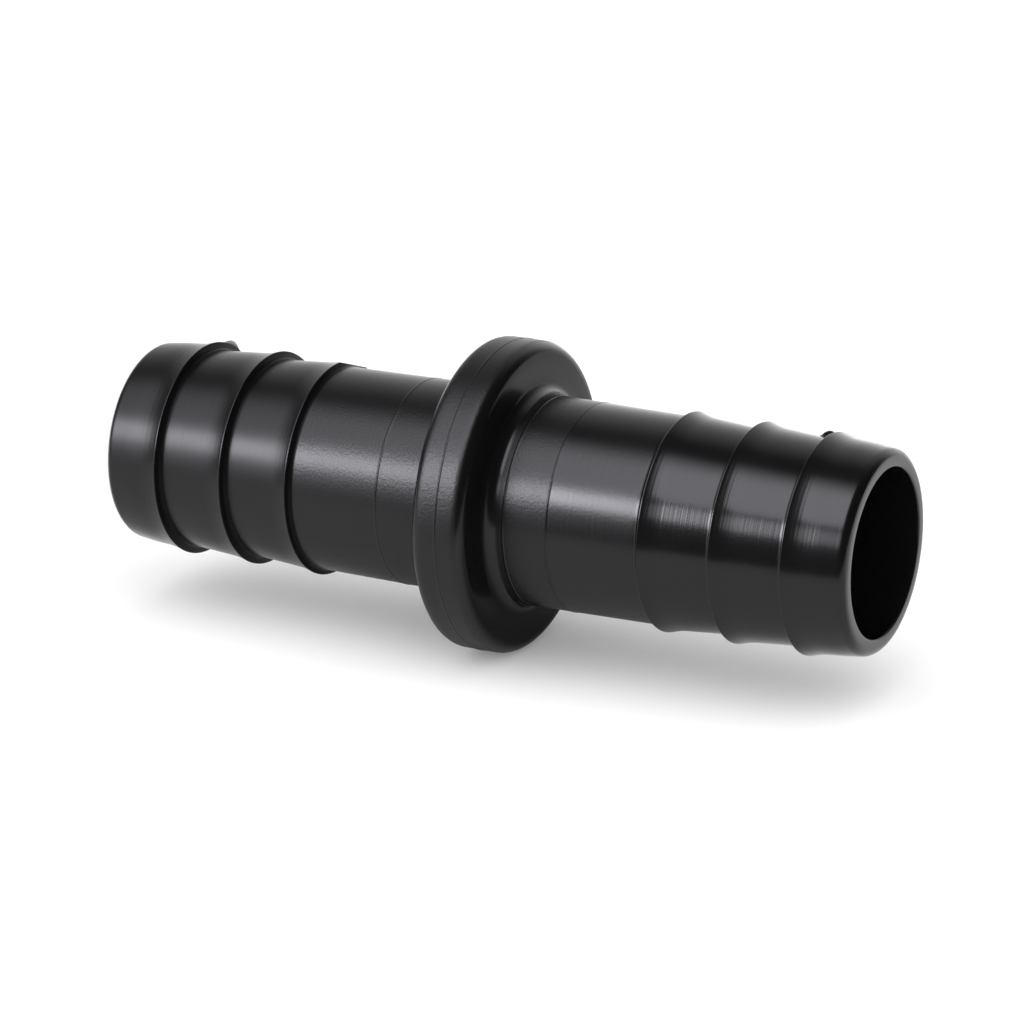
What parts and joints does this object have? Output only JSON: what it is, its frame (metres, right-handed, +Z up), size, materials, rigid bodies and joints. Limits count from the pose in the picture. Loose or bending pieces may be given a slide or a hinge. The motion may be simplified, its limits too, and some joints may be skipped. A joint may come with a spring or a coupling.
{
  "type": "hose mender",
  "caption": "Straight barbed hose mender: one moulded black plastic tube with a round middle collar, hollow-flared barbs on both spigots and a through bore.",
  "frame": {"origin": "centre of the lower mouth, on the surface that the mender stands on", "axes": "+Z up the bore axis from the lower mouth to the upper mouth; the mould's split line and its two slivers of flash lie at -X"},
  "size_m": [0.0368, 0.0368, 0.0955],
  "materials": {
    "black_plastic": "black moulded thermoplastic: spark-grained collar and root, polished barbs and nose"
  },
  "bodies": {
    "root": {"mender_body": "black_plastic"}
  },
  "joints": []
}
